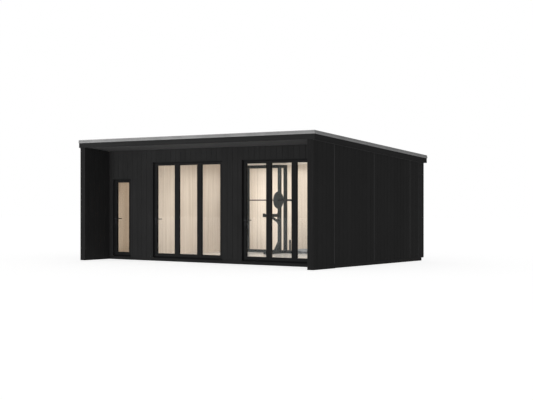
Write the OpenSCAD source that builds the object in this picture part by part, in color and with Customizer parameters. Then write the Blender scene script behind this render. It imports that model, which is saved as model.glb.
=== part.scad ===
// Garden gym pod: a flat-clad timber building with a recessed front, a canopy between two wing
// walls, a store behind a narrow glazed door and one main room behind two folding glazed sets.
// Millimetres. +X is right seen from the front, +Y runs to the back, +Z is up.

/* [Overall] */
// Width over the two side walls
body_w = 7000; // [6400:50:7800]
// Depth from the front of the wing walls to the back wall
body_d = 4930; // [4400:10:5600]
// Height of the roof edge at the front
front_h = 3000; // [2900:10:3200]
// Slope of the roof, falling to the back, in degrees
roof_pitch = 4.35; // [2:0.05:5]
// How far the front wall stands back behind the wing walls
recess = 870; // [600:10:1200]

/* [Walls] */
// Thickness of an outer wall, with its cladding and lining
wall_t = 155; // [140:1:200]
// Thickness of the outer cladding boards
clad_t = 20; // [16:1:28]
// Thickness of the inner wood lining
lining_t = 12; // [9:1:18]
// Thickness of the partition beside the store
partition_t = 100; // [80:5:120]
// Left outer face of the building to the partition's right face
partition_x = 1265; // [1150:5:1400]

/* [Base] */
// Height of the base frame
base_h = 75; // [50:5:120]
// Height of the finished floor
floor_h = 100; // [90:5:150]
// How far the base stands in under the cladding
base_inset = 40; // [20:5:80]
// Height of the cladding's lower edge
clad_bottom = 90; // [80:5:120]

/* [Roof] */
// Height of the metal edge trim
trim_h = 78; // [60:1:100]
// Height of the roof's whole edge, trim and fascia
roof_t = 192; // [170:1:220]
// Thickness of a fascia board
fascia_t = 22; // [18:1:30]
// How far the trim stands out from the fascia
trim_out = 12; // [8:1:30]
// How far the fascia stands out in front of the wing walls
front_over = 8; // [4:1:30]
// How far the fascia stands out from the side walls
side_over = 40; // [30:5:80]
// How far the fascia stands out behind the back wall
back_over = 88; // [60:4:120]
// Thickness of the roof sheet
sheet_t = 12; // [8:1:20]
// Thickness of the soffit and of the ceiling boards
board_t = 12; // [9:1:18]

/* [Store door] */
// Left outer face of the building to the door opening
door_x = 277; // [270:1:300]
// Width of the door opening
door_w = 618; // [600:1:640]
// Height of the top of the door opening
door_top = 2035; // [1980:5:2100]
// Thickness of the door leaf and of each folding leaf
leaf_t = 48; // [44:1:50]
// Gap around a leaf
leaf_gap = 5; // [4:0.5:6]

/* [Folding sets] */
// Left outer face of the building to the middle set's opening
middle_x = 1633; // [1600:1:1700]
// Left outer face of the building to the right set's opening
right_x = 4405; // [4300:5:4450]
// Width of each folding set's opening
set_w = 2200; // [2100:10:2300]
// Height of the top of the folding sets' openings
set_top = 2440; // [2350:5:2460]
// Leaves in each folding set
set_leaves = 3; // [2:1:4]

/* [Frames] */
// Width of a frame's face
frame_w = 30; // [24:1:40]
// Depth of a frame
frame_d = 70; // [66:1:80]
// How far a frame's stop reaches in past its face
stop_w = 14; // [10:1:20]
// How far a frame stands back from the cladding
reveal = 52; // [40:1:60]
// Width of a leaf's upright stiles
stile_w = 70; // [60:1:80]
// Height of a leaf's top rail
rail_top = 46; // [40:1:60]
// Height of a leaf's bottom rail
rail_bottom = 70; // [60:1:90]
// Thickness of a glass pane
glass_t = 24; // [18:1:28]

/* [Handles and hinges] */
// Height of the lever handles
handle_z = 1030; // [950:10:1100]
// Length of a lever
lever_l = 102; // [90:1:140]
// Diameter of a hinge pin
hinge_d = 14; // [12:1:18]

/* [Gym rack] */
// Left outer face of the building to the middle of the rack
rack_x = 2541; // [2500:10:3000]
// Depth of the rack's rear uprights behind the wing walls' front
rack_y = 4400; // [3800:10:4500]
// Distance between the two side frames, middle to middle
rack_w = 1250; // [1100:10:1300]
// Distance between a side frame's uprights, middle to middle
rack_d = 264; // [240:2:500]
// Height of the rack
rack_h = 2330; // [2100:10:2350]
// Width of the rack's square tube
tube = 75; // [60:5:80]
// Height of the barbell above the ground
bar_z = 1500; // [1300:10:1700]
// Length of the barbell
bar_l = 2250; // [2000:10:2300]
// Diameter of a weight plate
plate_dia = 450; // [400:10:450]

/* [Hidden] */
$fn = 48;

half_w = body_w / 2;
front_edge = -front_over - trim_out;
back_edge = body_d + back_over + trim_out;
y_mid = (front_edge + back_edge) / 2;
slope = tan(roof_pitch);
// Drops below the roof's top surface
sheet_top = 12;
deck_top = sheet_top + sheet_t;
deck_low = roof_t - 4 - board_t;
board_low = deck_low + board_t;
// Hairline gap that keeps sloped faces from biting into each other
seam = 0.5;
// The roof's inner edge, where the deck meets the fascia and the trim
deck_x = half_w + side_over - fascia_t;
deck_front = fascia_t - front_over;
deck_back = body_d + back_over - fascia_t;
// Depths of the front wall's layers and of the rooms
wall_front = recess;
core_front = wall_front + clad_t;
core_rear = wall_front + wall_t - lining_t;
room_front = wall_front + wall_t;
room_back = body_d - wall_t;
// Outer wall's layers, from the building's outer face
core_side = wall_t - lining_t;
// Frames and leaves
frame_front = wall_front + reveal;
frame_back = frame_front + frame_d;
stop_front = frame_front + leaf_t + 6;
leaf_bottom = base_h + frame_w + leaf_gap;
leaf_inset = frame_w + leaf_gap;
door_left = door_x - half_w;
middle_left = middle_x - half_w;
right_left = right_x - half_w;
store_leaf_right = door_left + door_w - leaf_inset;
hinge_x = store_leaf_right + leaf_gap / 2;
hinge_y = frame_front - 9;

// Small fixed sizes of the handles and hinges
plate_w = 32;
plate_h = 200;
plate_t = 8;
lever_d = 20;
lever_out = 48;
hinge_l = 105;
hinge_play = 2;
flap_w = 22;
flap_t = 3;
hinge_heights = [330, 1050, 1800];

// Small fixed sizes of the rack's parts
sleeve_l = 430;
plate_thick = 24;
plate_gap = 45;

// Height of the roof's top surface at a depth behind the wing walls' front
function roof_z(y) = front_h - (y - front_edge) * slope;

// Places the building with the middle of its outline over the origin
module placed() { translate([0, -y_mid, 0]) children(); }

// Both sides of the building, from the left one
module both_sides() { for (s = [0, 1]) mirror([s, 0, 0]) children(); }

// A box given by its two corners
module block(x0, x1, y0, y1, z0, z1) {
    translate([x0, y0, z0]) cube([x1 - x0, y1 - y0, z1 - z0]);
}

// A prism along X from its outline of depths and heights
module along_x(x0, x1, outline) {
    translate([x0, 0, 0]) rotate([90, 0, 90]) linear_extrude(x1 - x0) polygon(outline);
}

// A box whose top follows the roof, at a drop below the roof's top surface
module under_roof(x0, x1, y0, y1, z0, drop = deck_low + seam)
    along_x(x0, x1, [[y0, z0], [y1, z0], [y1, roof_z(y1) - drop], [y0, roof_z(y0) - drop]]);

// A slab that follows the roof, between two drops below its top surface
module roof_slab(x0, x1, y0, y1, low, high)
    along_x(x0, x1, [[y0, roof_z(y0) - low], [y1, roof_z(y1) - low],
                     [y1, roof_z(y1) - high], [y0, roof_z(y0) - high]]);

// The three openings of the front wall, as cutters between two depths
module front_openings(y0, y1) {
    block(door_left, door_left + door_w, y0, y1, -1, door_top);
    for (x = [middle_left, right_left]) block(x, x + set_w, y0, y1, -1, set_top);
}

// ---- Base and floor ----

module base_frame() color("#141414") placed()
    block(base_inset - half_w, half_w - base_inset, wall_front + 6, body_d - base_inset, 0, base_h);

module floor_deck() color("#cfc3b4") placed() {
    block(wall_t - half_w, half_w - wall_t, room_front, room_back, base_h, floor_h);
    block(door_left, door_left + door_w, frame_back, room_front, base_h, floor_h);
    for (x = [middle_left, right_left])
        block(x, x + set_w, frame_back, room_front, base_h, floor_h);
}

// ---- Walls ----

module side_wall() under_roof(-half_w + clad_t, -half_w + core_side, wall_front,
                              body_d - clad_t, base_h);

module left_wall() color("#c8b490") placed() side_wall();

module right_wall() color("#c8b490") placed() mirror([1, 0, 0]) side_wall();

module back_wall() color("#c8b490") placed()
    under_roof(-half_w + core_side, half_w - core_side, room_back + lining_t, body_d - clad_t,
               base_h);

// Piers stand from the base to the roof, beside and between the openings
module front_piers() color("#c8b490") placed() {
    edges = [[core_side, door_x], [door_x + door_w, middle_x],
             [middle_x + set_w, right_x], [right_x + set_w, body_w - core_side]];
    for (e = edges) under_roof(e[0] - half_w, e[1] - half_w, core_front, core_rear, base_h);
}

module front_headers() color("#c8b490") placed() {
    under_roof(door_left, door_left + door_w, core_front, core_rear, door_top);
    for (x = [middle_left, right_left])
        under_roof(x, x + set_w, core_front, core_rear, set_top);
}

// A wing wall carries the canopy, is clad on all of its faces and stands on the ground
module wing_wall() under_roof(-half_w, -half_w + wall_t, 0, wall_front, 0, roof_t + seam);

module left_wing_wall() color("#1f1f1f") placed() wing_wall();

module right_wing_wall() color("#1f1f1f") placed() mirror([1, 0, 0]) wing_wall();

module partition_wall() color("#d9c4a6") placed()
    under_roof(partition_x - partition_t - half_w, partition_x - half_w, room_front,
               room_back, floor_h, board_low + seam);

// ---- Cladding and lining ----

module front_cladding() color("#262626") placed() difference() {
    under_roof(-half_w + wall_t, half_w - wall_t, wall_front, core_front, base_h);
    front_openings(wall_front - 1, core_front + 1);
}

module side_cladding() under_roof(-half_w, -half_w + clad_t, wall_front, body_d - clad_t,
                                  clad_bottom);

module left_cladding() color("#202020") placed() side_cladding();

module right_cladding() color("#202020") placed() mirror([1, 0, 0]) side_cladding();

module back_cladding() color("#202020") placed()
    under_roof(-half_w, half_w, body_d - clad_t, body_d, clad_bottom);

module front_lining() color("#dcc7aa") placed() difference() {
    under_roof(-half_w + core_side, half_w - core_side, core_rear, room_front, base_h,
               board_low + seam);
    front_openings(core_rear - 1, room_front + 1);
}

module side_linings() color("#d4bb97") placed() both_sides()
    under_roof(-half_w + core_side, -half_w + wall_t, room_front, room_back,
               base_h, board_low + seam);

module back_lining() color("#dcc7aa") placed()
    under_roof(-half_w + core_side, half_w - core_side, room_back, room_back + lining_t, base_h,
               board_low + seam);

module ceiling_lining() color("#e6dccb") placed()
    roof_slab(-half_w + core_side, half_w - core_side, core_rear, room_back + lining_t,
              board_low, deck_low + seam);

// ---- Roof ----

// Insulated panels that span from the canopy's edge to the back
module roof_deck() color("#8a8478") placed()
    roof_slab(-deck_x, deck_x, deck_front, deck_back, deck_low, deck_top);

module roof_sheet() color("#4a4c4e") placed()
    roof_slab(-deck_x, deck_x, deck_front, deck_back, deck_top - seam, sheet_top);

module canopy_soffit() color("#3b3b3b") placed()
    roof_slab(-half_w, half_w, deck_front, wall_front, board_low, deck_low + seam);

module front_fascia() color("#262626") placed()
    roof_slab(-half_w - side_over, half_w + side_over, -front_over, deck_front, roof_t,
              trim_h + seam);

module side_fascias() color("#262626") placed() both_sides()
    roof_slab(-half_w - side_over, -deck_x, deck_front, deck_back, roof_t, trim_h + seam);

module back_fascia() color("#262626") placed()
    roof_slab(-half_w - side_over, half_w + side_over, deck_back, body_d + back_over, roof_t,
              trim_h + seam);

// Edge trims sit on the fascias and stand out over them
module front_trim() color("#858585") placed()
    roof_slab(-half_w - side_over - trim_out, half_w + side_over + trim_out, front_edge,
              deck_front, trim_h, 0);

module side_trims() color("#6e6e6e") placed() both_sides()
    roof_slab(-half_w - side_over - trim_out, -deck_x, deck_front, deck_back, trim_h, 0);

module back_trim() color("#6e6e6e") placed()
    roof_slab(-half_w - side_over - trim_out, half_w + side_over + trim_out, deck_back,
              back_edge, trim_h, 0);

// ---- Frames, leaves and glass ----

// A frame around an opening, with a stop behind the leaves all round
module frame(x, w, top) difference() {
    block(x, x + w, frame_front, frame_back, base_h, top);
    block(x + frame_w, x + w - frame_w, frame_front - 1, stop_front, base_h + frame_w,
          top - frame_w);
    block(x + frame_w + stop_w, x + w - frame_w - stop_w, stop_front - 1, frame_back + 1,
          base_h + frame_w + stop_w, top - frame_w - stop_w);
}

// One leaf: two stiles and two rails around its glass
module leaf(x, w, top) difference() {
    block(x, x + w, frame_front, frame_front + leaf_t, leaf_bottom, top);
    block(x + stile_w, x + w - stile_w, frame_front - 1, frame_front + leaf_t + 1,
          leaf_bottom + rail_bottom, top - rail_top);
}

module leaf_glass(x, w, top)
    block(x + stile_w, x + w - stile_w, frame_front + (leaf_t - glass_t) / 2,
          frame_front + (leaf_t + glass_t) / 2, leaf_bottom + rail_bottom, top - rail_top);

// Calls its child once for each leaf of a folding set, at the leaf's left edge
set_leaf_w = (set_w - 2 * leaf_inset - (set_leaves - 1) * leaf_gap) / set_leaves;
module each_leaf(x) for (i = [0 : set_leaves - 1])
    translate([x + leaf_inset + i * (set_leaf_w + leaf_gap), 0, 0]) children();

door_leaf_w = door_w - 2 * leaf_inset;
door_leaf_top = door_top - leaf_inset;
set_leaf_top = set_top - leaf_inset;

module store_door_frame() color("#1b1b1b") placed() frame(door_left, door_w, door_top);

module middle_set_frame() color("#1b1b1b") placed() frame(middle_left, set_w, set_top);

module right_set_frame() color("#1b1b1b") placed() frame(right_left, set_w, set_top);

module store_door_leaf() color("#222324") placed() {
    leaf(door_left + leaf_inset, door_leaf_w, door_leaf_top);
    hinge_parts(-1, hinge_l / 3, [hinge_l / 3]);
}

module middle_set_leaves() color("#222324") placed()
    each_leaf(middle_left) leaf(0, set_leaf_w, set_leaf_top);

module right_set_leaves() color("#222324") placed()
    each_leaf(right_left) leaf(0, set_leaf_w, set_leaf_top);

module store_door_glass() color("#b8c4c4", 0.4) placed()
    leaf_glass(door_left + leaf_inset, door_leaf_w, door_leaf_top);

module middle_set_glass() color("#b8c4c4", 0.4) placed()
    each_leaf(middle_left) leaf_glass(0, set_leaf_w, set_leaf_top);

module right_set_glass() color("#b8c4c4", 0.4) placed()
    each_leaf(right_left) leaf_glass(0, set_leaf_w, set_leaf_top);

// ---- Handles and hinges ----

// A lever handle on the outer face of a leaf whose stile is centred on x
module outer_handle(x) {
    block(x - plate_w / 2, x + plate_w / 2, frame_front - plate_t, frame_front,
          handle_z - 0.7 * plate_h, handle_z + 0.3 * plate_h);
    translate([x, frame_front - plate_t + 1, handle_z]) rotate([90, 0, 0])
        cylinder(h = lever_out, d = lever_d);
    translate([x, frame_front - plate_t - lever_out + lever_d / 2, handle_z]) rotate([0, 90, 0])
        cylinder(h = lever_l, d = lever_d);
}

// The same handle on both faces of a leaf
module handle_pair(x) {
    outer_handle(x);
    translate([0, 2 * frame_front + leaf_t, 0]) mirror([0, 1, 0]) outer_handle(x);
}

module store_door_handle() color("#2e2e2f") placed()
    handle_pair(door_left + leaf_inset + stile_w / 2);

module folding_set_handles() color("#2e2e2f") placed()
    for (x = [middle_left, right_left]) handle_pair(x + leaf_inset + stile_w / 2);

// Knuckles of the three hinges, with a flap onto the leaf (side -1) or the frame (side 1)
module hinge_parts(side, part_l, starts)
    for (z = hinge_heights) for (s = starts) translate([hinge_x, 0, z - hinge_l / 2 + s]) {
        translate([0, hinge_y, hinge_play / 2]) cylinder(h = part_l - hinge_play, d = hinge_d);
        block(min(0, side * flap_w), max(0, side * flap_w), frame_front - flap_t, frame_front,
              hinge_play / 2, part_l - hinge_play / 2);
    }

module store_door_hinges() color("#2e2e2f") placed()
    hinge_parts(1, hinge_l / 3, [0, 2 * hinge_l / 3]);

// ---- Gym rack ----

rack_left = rack_x - half_w - rack_w / 2;
rack_right = rack_left + rack_w;
front_post = rack_y - rack_d;
rack_top = floor_h + rack_h;
foot_front = front_post - 665;
arm_z = 1060;
arm_h = 75;
arm_l = 670;
arm_tip = 20;
bar_y = front_post - tube / 2 - 95;

// A square tube along Y, Z or X, centred on its own line
module tube_y(x, y0, y1, z) block(x - tube / 2, x + tube / 2, y0, y1, z, z + tube);
module post(x, y, z0, z1) block(x - tube / 2, x + tube / 2, y - tube / 2, y + tube / 2, z0, z1);
module tube_x(x0, x1, y, z) block(x0, x1, y - tube / 2, y + tube / 2, z, z + tube);

// One side frame: foot, two posts, top beam and a slanted brace in front
module side_frame(x) {
    tube_y(x, foot_front, rack_y + tube / 2, floor_h);
    post(x, rack_y, floor_h, rack_top);
    post(x, front_post, floor_h, rack_top);
    tube_y(x, front_post - tube / 2, rack_y + tube / 2, rack_top - tube);
    along_x(x - 25, x + 25, [[front_post - 245, floor_h + tube], [front_post - 120, floor_h + tube],
                             [front_post, floor_h + tube + 125], [front_post, floor_h + tube + 300]]);
}

module rack_side_frames() color("#3c4448") placed() {
    side_frame(rack_left);
    side_frame(rack_right);
}

// Bars that tie the side frames, and the short stub with its peg beside the right frame
module rack_crossbars() color("#3c4448") placed() {
    inner_left = rack_left + tube / 2;
    inner_right = rack_right - tube / 2;
    tube_x(inner_left, inner_right, rack_y, floor_h);
    for (y = [front_post, rack_y]) tube_x(inner_left, inner_right, y, rack_top - tube);
    tube_x(rack_right + tube / 2, rack_right + 215, rack_y, floor_h);
    translate([rack_right + 150, rack_y, floor_h + tube]) cylinder(h = 275, d = 50);
}

// A safety arm in front of a post, with an upturned tip and a brace under it
module arm(x) {
    block(x - 45, x + 45, front_post - tube / 2 - 10, front_post - tube / 2, arm_z - 185, arm_z + 105);
    block(x - 30, x + 30, front_post - tube / 2 - arm_l, front_post - tube / 2 - 10, arm_z, arm_z + arm_h);
    block(x - 30, x + 30, front_post - tube / 2 - arm_l, front_post - tube / 2 - arm_l + 25,
          arm_z + arm_h, arm_z + arm_h + arm_tip);
    along_x(x - 20, x + 20, [[front_post - 410, arm_z], [front_post - 298, arm_z],
                             [front_post - tube / 2 - 10, arm_z - 92],
                             [front_post - tube / 2 - 10, arm_z - 175]]);
}

module rack_arms() color("#32393c") placed() {
    arm(rack_left);
    arm(rack_right);
}

// The cradles that hold the barbell belong to it here, so that it rests against the posts
module barbell() color("#4a4f52") placed() {
    translate([rack_x - half_w - bar_l / 2, bar_y, bar_z]) rotate([0, 90, 0])
        cylinder(h = bar_l, d = 30);
    for (s = [-1, 1]) {
        sleeve_x = rack_x - half_w + s * (bar_l / 2 - sleeve_l / 2);
        translate([sleeve_x - sleeve_l / 2, bar_y, bar_z]) rotate([0, 90, 0])
            cylinder(h = sleeve_l, d = 50);
    }
    for (x = [rack_left, rack_right]) block(x - 30, x + 30, bar_y - 25, front_post - tube / 2,
                                            bar_z - 55, bar_z - 12);
}

module weight_plates() color("#2b3134") placed()
    for (x = [rack_left - plate_gap - plate_thick, rack_right + plate_gap])
        translate([x, bar_y, bar_z]) rotate([0, 90, 0]) difference() {
            cylinder(h = plate_thick, d = plate_dia, $fn = 96);
            translate([0, 0, -1]) cylinder(h = plate_thick + 2, d = 50.6);
        }

// A low step that stands on the floor against the back wall
module low_step() color("#8d96a0") placed() {
    step_x = rack_right + 300;
    block(step_x, step_x + 950, room_back - 420, room_back - 30, floor_h, floor_h + 110);
}

base_frame();
floor_deck();
left_wall();
right_wall();
back_wall();
front_piers();
front_headers();
left_wing_wall();
right_wing_wall();
partition_wall();
front_cladding();
left_cladding();
right_cladding();
back_cladding();
front_lining();
side_linings();
back_lining();
ceiling_lining();
roof_deck();
roof_sheet();
canopy_soffit();
front_fascia();
side_fascias();
back_fascia();
front_trim();
side_trims();
back_trim();
store_door_frame();
store_door_leaf();
store_door_glass();
store_door_handle();
store_door_hinges();
middle_set_frame();
middle_set_leaves();
middle_set_glass();
right_set_frame();
right_set_leaves();
right_set_glass();
folding_set_handles();
rack_side_frames();
rack_crossbars();
rack_arms();
barbell();
weight_plates();
low_step();
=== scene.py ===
"""Looks for the garden gym pod: boards, metalwork, glazing, linings and gym kit on the CAD frame."""
import math
import random

import bmesh
import bpy
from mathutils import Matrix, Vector


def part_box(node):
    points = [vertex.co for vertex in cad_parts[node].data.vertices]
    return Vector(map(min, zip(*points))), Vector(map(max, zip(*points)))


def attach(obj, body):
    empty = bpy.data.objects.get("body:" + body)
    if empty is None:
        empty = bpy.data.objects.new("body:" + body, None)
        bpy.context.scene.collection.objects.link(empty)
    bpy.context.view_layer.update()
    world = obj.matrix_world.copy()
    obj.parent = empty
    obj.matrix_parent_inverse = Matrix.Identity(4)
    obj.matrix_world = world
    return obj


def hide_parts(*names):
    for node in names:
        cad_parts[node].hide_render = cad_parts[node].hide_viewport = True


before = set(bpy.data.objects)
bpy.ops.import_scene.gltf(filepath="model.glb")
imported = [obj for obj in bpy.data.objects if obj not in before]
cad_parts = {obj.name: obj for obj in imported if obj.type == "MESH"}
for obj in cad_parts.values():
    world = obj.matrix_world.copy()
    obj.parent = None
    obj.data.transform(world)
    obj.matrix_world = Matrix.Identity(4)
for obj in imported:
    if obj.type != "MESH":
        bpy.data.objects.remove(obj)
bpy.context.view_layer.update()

HOUSE = "building"
DOOR = "store_door"

# Boards and panels
BOARD_PITCH = 0.160
BOARD_GAP = 0.004
FRONT_GAP = 0.6 * BOARD_GAP
BOARD_T = 0.013
PANEL_W = 1.222
PANEL_GAP = 0.008
PANEL_T = 0.008
PANEL_BACK_T = 0.004
PLANK_W = 0.190
PLANK_L = 1.28
PLANK_STAGGER = 1.1
CEILING_W = 0.6
SOFFIT_W = 0.145
SHEET_W = 1.1
STRIP_SPACING = 1.70
STRIP_W = 0.010
WING_SEAM = 0.040
POST_SEAMS = (0.230, 0.125)

# Roof edge
TRIM_HEIGHT = 0.078
EDGE_HEIGHT = 0.192

# Glazing
SHEET_T = 0.004
BEAD_OUT = 0.006
BEAD_IN = 0.009
SPACER_W = 0.008

# Rack
HOLE_PITCH = 0.050
HOLE_R = 0.0085
ARM_PLATE_UP = 0.030
SHAFT_R = 0.0146
GRIP_R = 0.015
SLEEVE_R = 0.025
HUB_R = 0.036
BORE_R = 0.0253

# Stage and light
STAGE_REACH = 60
AMBIENT = 0.385
FLOOR_GLOW = 0.78
KEY_POWER = 1000
FILL_POWER = 900
GYM_POWERS = (60, 7, 38, 11)
STORE_POWERS = (11, 4)
GYM_TINT = (1.0, 0.985, 0.96)
STORE_TINT = (1.0, 0.92, 0.81)

# Camera
LENS_MM = 76.6
SHIFT_UP = 0.0009
EYE = (16.991, -22.643, 1.491)
EYE_TURN = 36.18


# ---- Places read from the CAD ----


def solids(node):
    """The box of each separate solid in a CAD node, from left to right."""
    bm = bmesh.new()
    bm.from_mesh(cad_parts[node].data)
    bmesh.ops.remove_doubles(bm, verts=bm.verts, dist=1e-5)
    boxes, unseen = [], set(bm.verts)
    while unseen:
        island, edge = [], [unseen.pop()]
        while edge:
            vert = edge.pop()
            island.append(vert.co.copy())
            near = {e.other_vert(vert) for e in vert.link_edges} & unseen
            unseen -= near
            edge.extend(near)
        boxes.append(tuple(Vector([pick(co[i] for co in island) for i in range(3)]) for pick in (min, max)))
    bm.free()
    return sorted(boxes, key=lambda b: round(b[0].x, 4))


DECK_LOW, DECK_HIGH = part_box("roof_deck")
TRIM_LOW, TRIM_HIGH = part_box("front_trim")
EDGE_OUT = DECK_LOW.y - TRIM_LOW.y
FASCIA_OUT = DECK_LOW.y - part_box("front_fascia")[0].y
SLOPE = (TRIM_HIGH.z - TRIM_LOW.z - TRIM_HEIGHT) / EDGE_OUT
WALL_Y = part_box("front_cladding")[0].y
FRAMES = [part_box(name) for name in ("store_door_frame", "middle_set_frame", "right_set_frame")]
PART_LOW, PART_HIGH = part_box("partition_wall")
ROOM_LOW, ROOM_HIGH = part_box("side_linings")
LINING_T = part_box("back_lining")[1].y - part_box("back_lining")[0].y
ROOM_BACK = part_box("back_lining")[0].y
ROOM_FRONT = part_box("front_lining")[1].y


def roof_z(y, drop=0.0):
    """Height of the roof's top at a depth, less a drop."""
    return TRIM_HIGH.z - (y - TRIM_LOW.y) * SLOPE - drop


def under_roof(drop):
    """The top end of an upright board whose u runs to the back, cut to the roof's slope."""
    return lambda u, v: roof_z(u, drop)


# ---- Mesh building ----


def add_loft(bm, loops, closed_ends=True):
    """Skins a list of vertex loops of equal length; returns their vertices."""
    count = len(loops[0])
    for a, b in zip(loops, loops[1:]):
        for i in range(count):
            j = (i + 1) % count
            bm.faces.new((a[i], a[j], b[j], b[i]))
    if closed_ends:
        bm.faces.new(loops[0][::-1])
        bm.faces.new(loops[-1])
    return [v for loop in loops for v in loop]


def add_prism(bm, outline, place, low, high):
    """A prism on an outline of (u, v), between two ends that may depend on (u, v)."""
    loops = []
    for end in (low, high):
        loops.append([bm.verts.new(place(u, v, end(u, v) if callable(end) else end)) for u, v in outline])
    return add_loft(bm, loops)


def add_box(bm, low, high):
    """A box between two corners."""
    outline = [(low[0], low[1]), (high[0], low[1]), (high[0], high[1]), (low[0], high[1])]
    return add_prism(bm, outline, lambda u, v, z: (u, v, z), low[2], high[2])


def add_rod(bm, start, end, radius, sides=20):
    """A straight round rod between two points."""
    return add_lathe(bm, start, end, [(0.0, radius), ((Vector(end) - Vector(start)).length, radius)], sides)


def add_lathe(bm, start, end, profile, sides=32):
    """A solid of revolution about the line from start towards end, from (distance, radius) pairs."""
    start, along = Vector(start), (Vector(end) - Vector(start)).normalized()
    side = along.orthogonal().normalized()
    up = along.cross(side)
    loops = []
    for distance, radius in profile:
        centre = start + along * distance
        turn = [2 * math.pi * i / sides for i in range(sides)]
        loops.append([bm.verts.new(centre + radius * (side * math.cos(a) + up * math.sin(a)))
                      for a in turn])
    return add_loft(bm, loops)


def add_ring_lathe(bm, centre_x, y, z, profile, sides=96):
    """A closed ring about a line along X, from a closed section of (x offset, radius)."""
    loops = []
    for i in range(sides):
        a = 2 * math.pi * i / sides
        loops.append([bm.verts.new((centre_x + dx, y + r * math.cos(a), z + r * math.sin(a)))
                      for dx, r in profile])
    add_loft(bm, loops + [loops[0]], closed_ends=False)


def add_frame(bm, low, high, section):
    """A mitred ring in an upright opening, from a closed section of (in from its edge, y)."""
    loops = []
    for inward, y in section:
        x0, x1, z0, z1 = low.x + inward, high.x - inward, low.z + inward, high.z - inward
        loops.append([bm.verts.new((x, y, z)) for x, z in ((x0, z0), (x1, z0), (x1, z1), (x0, z1))])
    add_loft(bm, loops + [loops[0]], closed_ends=False)


def paint_tone(bm, verts, tone):
    """Stores a board's own shade on its corners, which its material reads."""
    layer = bm.loops.layers.float_color.get("tone") or bm.loops.layers.float_color.new("tone")
    for face in {f for v in verts for f in v.link_faces}:
        for loop in face.loops:
            loop[layer] = (tone, tone, tone, 1.0)


def add_bevel(piece, width, segments=2):
    """Rounds a piece's sharp edges."""
    rounding = piece.modifiers.new("rounding", "BEVEL")
    rounding.width = width
    rounding.segments = segments
    rounding.limit_method = "ANGLE"
    rounding.angle_limit = math.radians(40)


def make_piece(name, bm, material, replaces=(), body=HOUSE, bevel=0.0, smooth=False):
    """Turns a bmesh into a piece that rides on a body and may stand for CAD nodes."""
    bmesh.ops.recalc_face_normals(bm, faces=bm.faces)
    mesh = bpy.data.meshes.new(name)
    bm.to_mesh(mesh)
    bm.free()
    piece = bpy.data.objects.new(name, mesh)
    bpy.context.scene.collection.objects.link(piece)
    mesh.materials.append(material)
    if smooth:
        mesh.shade_smooth()
        mesh.set_sharp_from_angle(angle=math.radians(35))
    if bevel:
        add_bevel(piece, bevel)
    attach(piece, body)
    if replaces:
        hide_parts(*replaces)
    return piece


# ---- Materials ----


class Nodes:
    """A short way to lay out a material's nodes."""

    def __init__(self, name):
        self.material = bpy.data.materials.new(name)
        self.material.use_nodes = True
        self.tree = self.material.node_tree
        self.shader = self.tree.nodes["Principled BSDF"]
        self.coords = self.add("ShaderNodeTexCoord").outputs["Object"]

    def add(self, kind, **values):
        """A new node with its settings."""
        node = self.tree.nodes.new(kind)
        for key, value in values.items():
            setattr(node, key, value)
        return node

    def link(self, source, target):
        """Joins an output to an input."""
        self.tree.links.new(source, target)

    def noise(self, stretch, detail=4.0, roughness=0.55):
        """Noise in object space, with its own scale on each axis."""
        mapping = self.add("ShaderNodeMapping")
        mapping.inputs["Scale"].default_value = stretch
        self.link(self.coords, mapping.inputs["Vector"])
        noise = self.add("ShaderNodeTexNoise")
        noise.inputs["Scale"].default_value = 1.0
        noise.inputs["Detail"].default_value = detail
        noise.inputs["Roughness"].default_value = roughness
        self.link(mapping.outputs["Vector"], noise.inputs["Vector"])
        return noise.outputs["Fac"]

    def tone(self):
        """The shade that a board was given when it was built."""
        return self.add("ShaderNodeAttribute", attribute_name="tone").outputs["Fac"]

    def ramp(self, factor, low, high, start=0.3, end=0.7):
        """Colours from low to high as a factor goes from start to end."""
        ramp = self.add("ShaderNodeValToRGB")
        for element, position, colour in zip(ramp.color_ramp.elements, (start, end), (low, high)):
            element.position = position
            element.color = (*colour, 1.0)
        self.link(factor, ramp.inputs["Fac"])
        return ramp.outputs["Color"]

    def spread(self, factor, low, high):
        """A factor mapped onto a range."""
        node = self.add("ShaderNodeMapRange")
        for socket, value in zip(("From Min", "From Max", "To Min", "To Max"), (0.3, 0.7, low, high)):
            node.inputs[socket].default_value = value
        self.link(factor, node.inputs["Value"])
        return node.outputs["Result"]

    def multiply(self, a, b):
        """Two colours multiplied."""
        node = self.add("ShaderNodeMix", data_type="RGBA", blend_type="MULTIPLY")
        self.link(a, node.inputs[6])
        self.link(b, node.inputs[7])
        node.inputs[0].default_value = 1.0
        return node.outputs[2]

    def bump(self, *layers):
        """Bump from (factor, distance, strength) layers, one on top of the other."""
        normal = None
        for factor, distance, strength in layers:
            node = self.add("ShaderNodeBump")
            node.inputs["Strength"].default_value = strength
            node.inputs["Distance"].default_value = distance
            self.link(factor, node.inputs["Height"])
            if normal:
                self.link(normal, node.inputs["Normal"])
            normal = node.outputs["Normal"]
        self.link(normal, self.shader.inputs["Normal"])

    def fixed(self, **values):
        """Constant values on the shader's own sockets."""
        for key, value in values.items():
            self.shader.inputs[key.replace("_", " ")].default_value = value

    def surface(self, colour, roughness):
        """Links the shader's colour and roughness."""
        self.link(colour, self.shader.inputs["Base Color"])
        self.link(roughness, self.shader.inputs["Roughness"])


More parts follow.
